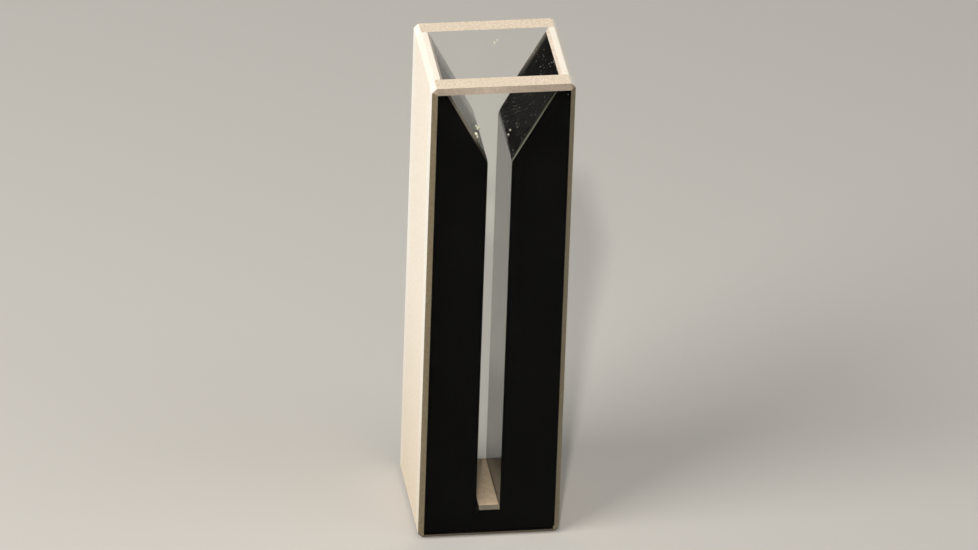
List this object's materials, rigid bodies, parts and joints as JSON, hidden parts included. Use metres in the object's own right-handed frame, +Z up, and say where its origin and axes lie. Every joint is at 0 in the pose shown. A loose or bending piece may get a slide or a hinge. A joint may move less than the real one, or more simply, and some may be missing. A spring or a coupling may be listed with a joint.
{
  "type": "cuvette",
  "caption": "Tall square lab cuvette with clear polished windows, black side walls, a funnel mouth, a narrow sample chamber and ground white edges.",
  "frame": {"origin": "middle of the foot, on the surface that the cuvette stands on", "axes": "+Z up along the body, -Y out of the front window, +X to the right as seen from the front"},
  "size_m": [0.0126, 0.0126, 0.045],
  "materials": {
    "clear_glass": "polished windows with ground edges",
    "black_glass": "polished inside, ground outside"
  },
  "bodies": {
    "root": {"front_window": "clear_glass", "rear_window": "clear_glass", "left_wall": "black_glass", "right_wall": "black_glass", "base": "black_glass"}
  },
  "joints": []
}
